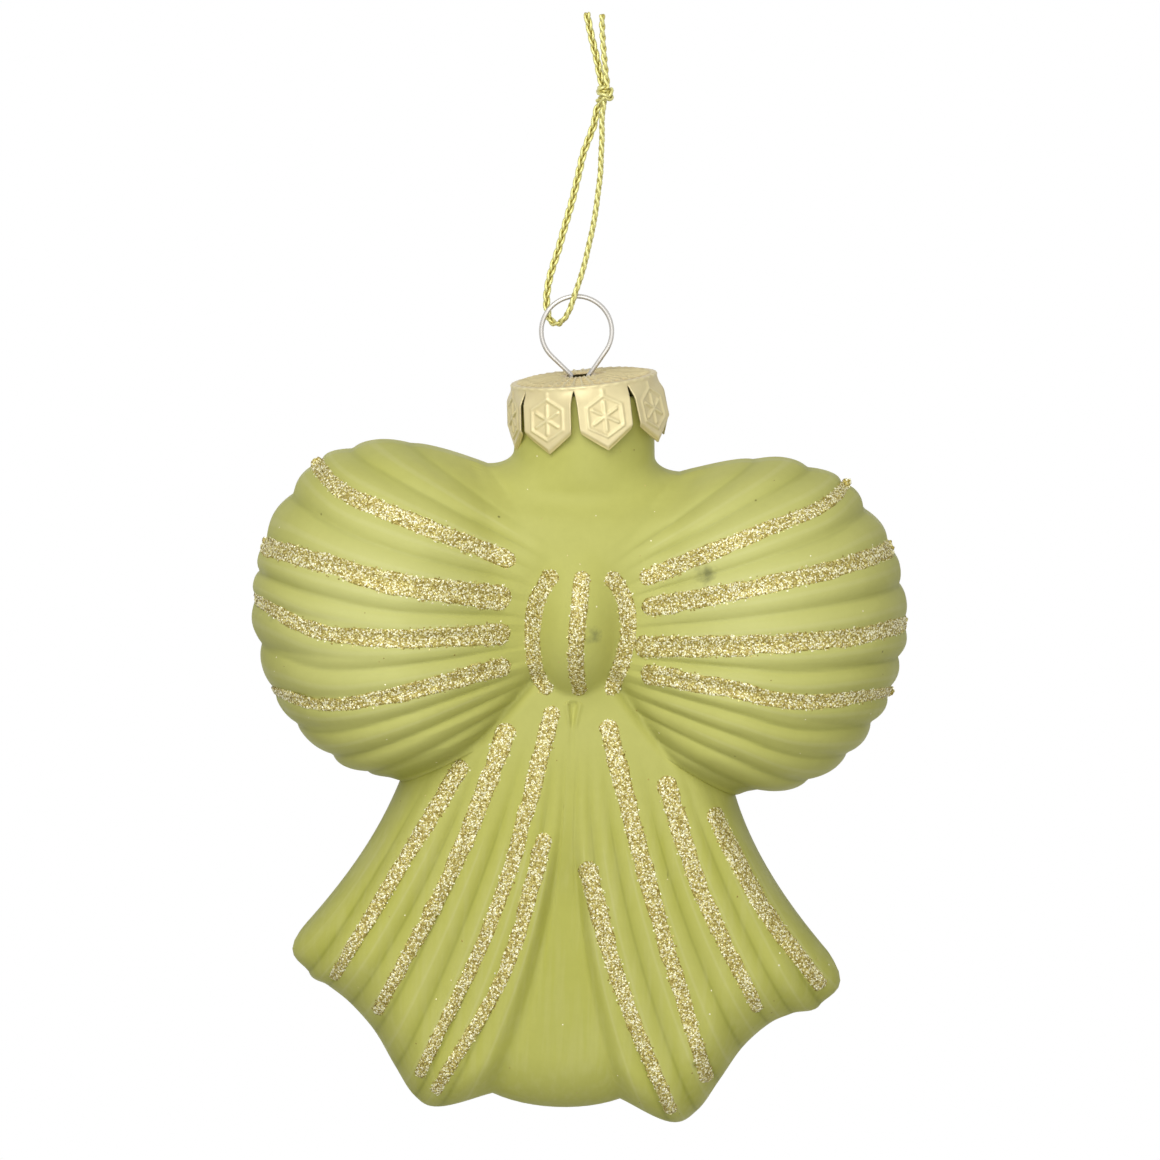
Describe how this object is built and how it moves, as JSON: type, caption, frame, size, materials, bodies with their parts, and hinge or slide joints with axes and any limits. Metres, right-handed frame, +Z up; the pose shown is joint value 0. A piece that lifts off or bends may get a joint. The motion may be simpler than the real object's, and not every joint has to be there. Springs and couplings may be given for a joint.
{
  "type": "bow ornament",
  "caption": "Hollow moulded glass bow with pleated loops, fluted tails and glitter lines, hung from a crown cap by a wire ring and a knotted cord loop.",
  "frame": {"origin": "the hang point, in the top of the cord loop under its knot", "axes": "+Z up along the bow's own axis, +X to the right as seen from the front, the front faces -Y"},
  "size_m": [0.0864, 0.0356, 0.1454],
  "materials": {
    "lacquered_glass": "satin yellow-green lacquer over glass",
    "cap_gold": "bright stamped sheet",
    "hanger_wire": "drawn wire",
    "gold_cord": "metallic braid",
    "gold_glitter": "loose sparkle"
  },
  "bodies": {
    "cord": {"cord_loop": "gold_cord", "cord_knot": "gold_cord", "cord_tail_left": "gold_cord", "cord_tail_right": "gold_cord"},
    "hanger": {"wire_hanger": "hanger_wire"},
    "cap": {"crown_cap": "cap_gold"},
    "glass": {"glass_bow": "lacquered_glass", "glitter_left_loop_1": "gold_glitter", "glitter_left_loop_2": "gold_glitter", "glitter_left_loop_3": "gold_glitter", "glitter_left_loop_4": "gold_glitter", "glitter_right_loop_1": "gold_glitter", "glitter_right_loop_2": "gold_glitter", "glitter_right_loop_3": "gold_glitter", "glitter_right_loop_4": "gold_glitter", "glitter_knot_left": "gold_glitter", "glitter_knot_centre": "gold_glitter", "glitter_knot_right": "gold_glitter", "glitter_left_tail_1": "gold_glitter", "glitter_left_tail_2": "gold_glitter", "glitter_left_tail_3": "gold_glitter", "glitter_left_tail_4": "gold_glitter", "glitter_right_tail_1": "gold_glitter", "glitter_right_tail_2": "gold_glitter", "glitter_right_tail_3": "gold_glitter", "glitter_right_tail_4": "gold_glitter"}
  },
  "joints": [
    {"name": "ring_swing", "type": "hinge", "parent": "cord", "child": "hanger", "pos_m": [-0.0042, 0, -0.02544], "axis": [0.8386, 0, 0.5447], "range_deg": [-30, 30]},
    {"name": "cap_slide", "type": "slide", "parent": "hanger", "child": "cap", "axis": [0, 0, -1], "range_m": [0, 0.003]},
    {"name": "glass_pull", "type": "slide", "parent": "cap", "child": "glass", "axis": [0, 0, -1], "range_m": [0, 0.026]}
  ]
}
